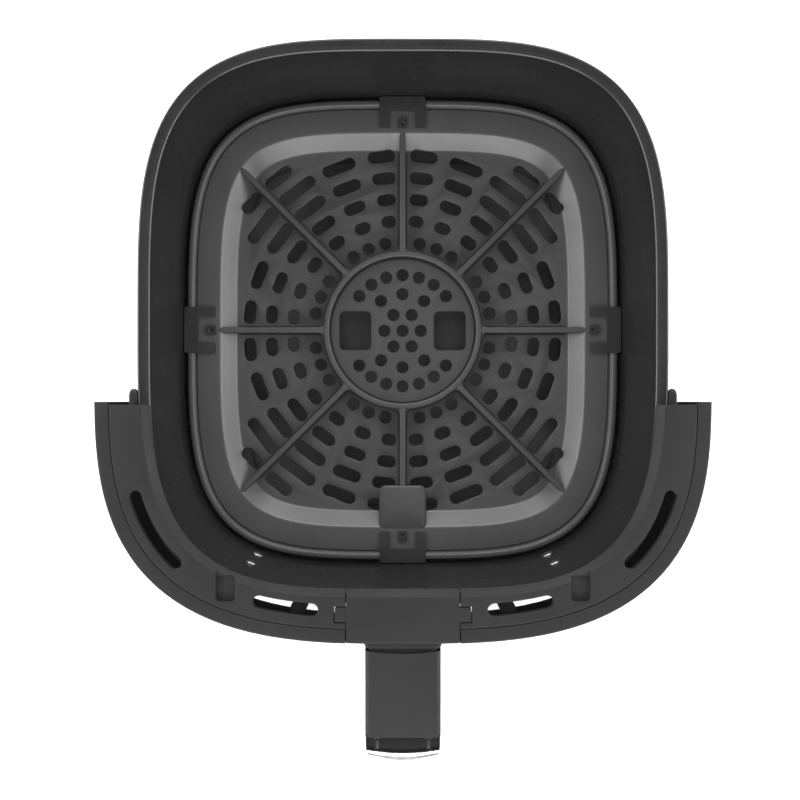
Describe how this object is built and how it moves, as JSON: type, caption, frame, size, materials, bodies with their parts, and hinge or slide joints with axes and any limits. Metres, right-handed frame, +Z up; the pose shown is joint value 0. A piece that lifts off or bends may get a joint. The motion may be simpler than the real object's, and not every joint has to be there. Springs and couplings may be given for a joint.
{
  "type": "air fryer drawer",
  "caption": "Deep squared pot with a lift-out perforated crisper plate, U-shaped front collar with vents, and a drop handle with bright trim.",
  "frame": {"origin": "on the surface the drawer stands on, below the middle of the pot's mouth", "axes": "+Z up, +Y towards the back of the pot, away from the handle, +X to the right seen from the handle"},
  "size_m": [0.3272, 0.3784, 0.117],
  "materials": {
    "coated_steel": "satin",
    "coated_plate": "satin",
    "silicone": "matte",
    "moulding": "matte",
    "inner_moulding": "matte",
    "handle_moulding": "matte",
    "chrome_trim": "polished",
    "steel": "brushed",
    "rivet_steel": "satin",
    "screw_steel": "satin"
  },
  "bodies": {
    "drawer": {"pot_shell": "coated_steel", "pot_bracket": "steel", "pot_rivets": "rivet_steel", "collar_left": "moulding", "collar_right": "moulding", "rim_carrier_left": "inner_moulding", "rim_carrier_right": "inner_moulding", "carrier_screws": "screw_steel", "front_shell": "moulding", "collar_screws": "screw_steel", "handle_bridge": "moulding", "bridge_screws": "screw_steel", "handle_arm": "handle_moulding", "handle_back_cover": "handle_moulding", "handle_end_cap": "handle_moulding", "handle_trim": "chrome_trim", "trim_clips": "steel", "handle_core": "steel", "handle_bolts": "screw_steel", "handle_washers": "screw_steel", "cover_screws": "screw_steel"},
    "plate": {"crisper_plate": "coated_plate", "bumper_front": "silicone", "bumper_rear": "silicone", "bumper_left": "silicone", "bumper_right": "silicone"}
  },
  "joints": [
    {"name": "plate_lift", "type": "slide", "parent": "drawer", "child": "plate", "axis": [0, 0, 1], "range_m": [0, 0.11]}
  ]
}
